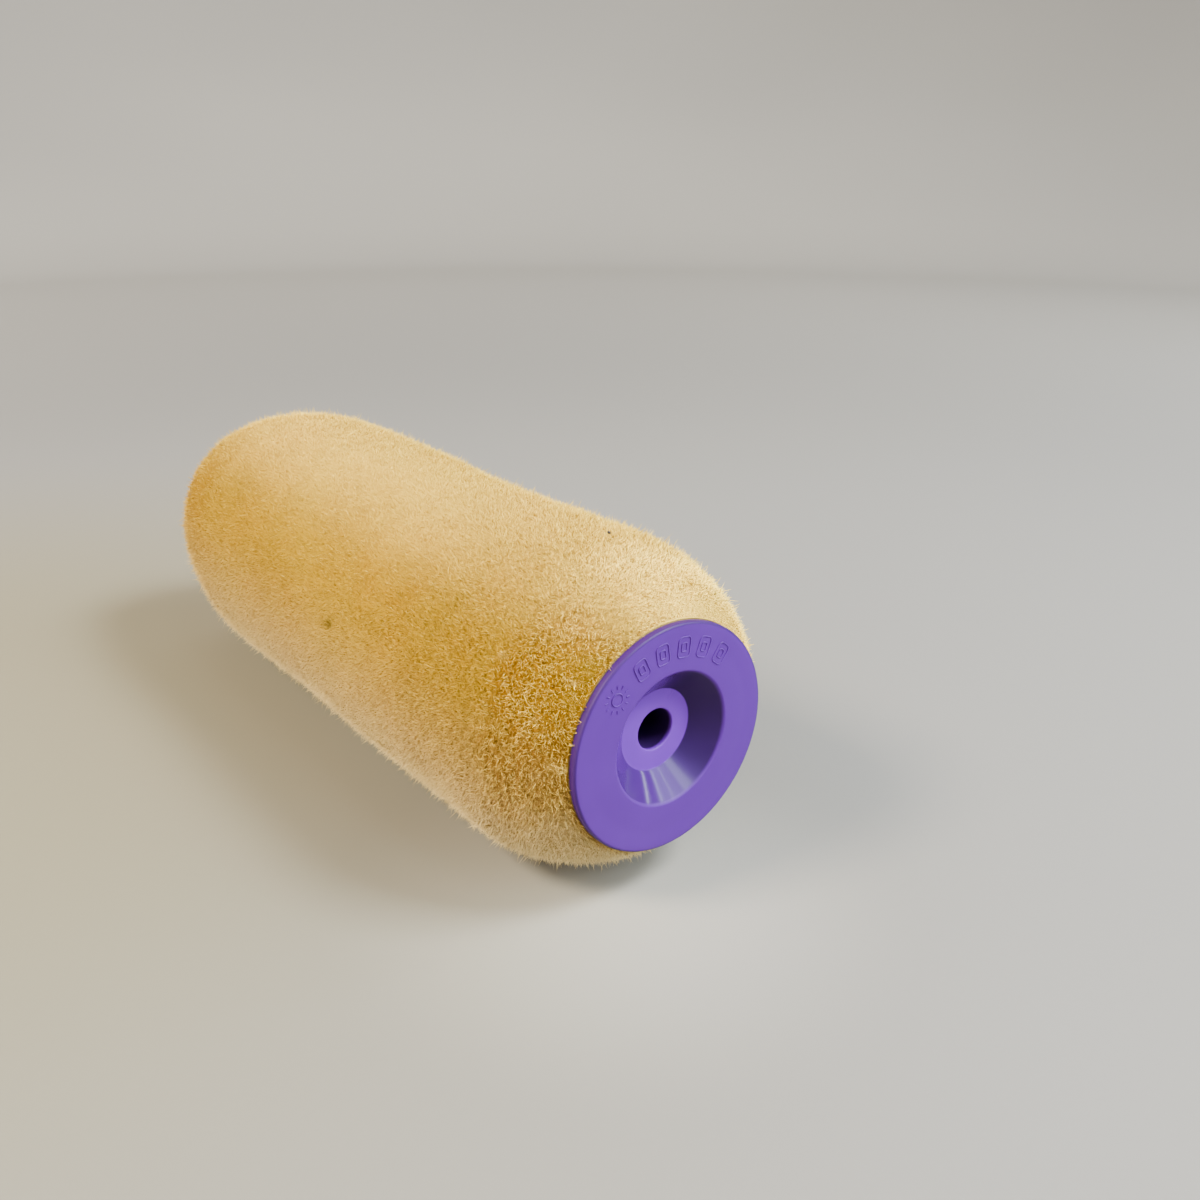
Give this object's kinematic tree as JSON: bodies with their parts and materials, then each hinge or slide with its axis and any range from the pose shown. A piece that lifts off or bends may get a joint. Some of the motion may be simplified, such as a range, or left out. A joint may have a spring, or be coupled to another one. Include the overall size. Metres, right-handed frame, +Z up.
{
  "type": "paint roller refill",
  "caption": "Paint roller refill: a plush pile sleeve on a spiral-wound plastic core, with a dished cap in each end bored for the frame's rod.",
  "frame": {"origin": "on the spin axis, halfway between the outer faces of the two end caps", "axes": "+Y along the spin axis towards the rear cap, +Z up as the roller lies on its pile, +X to the right seen from the front cap"},
  "size_m": [0.0686, 0.1818, 0.068],
  "materials": {
    "pile": "dense cut plush",
    "backing": "knitted backing",
    "film": "melt-bonded film",
    "core": "extruded polypropylene",
    "cap": "moulded, satin flange and polished dish"
  },
  "bodies": {
    "root": {"cover_pile": "pile", "cover_backing": "backing", "bonding_film": "film", "core_outer_ply": "core", "core_inner_ply": "core", "front_end_cap": "cap", "rear_end_cap": "cap"}
  },
  "joints": []
}
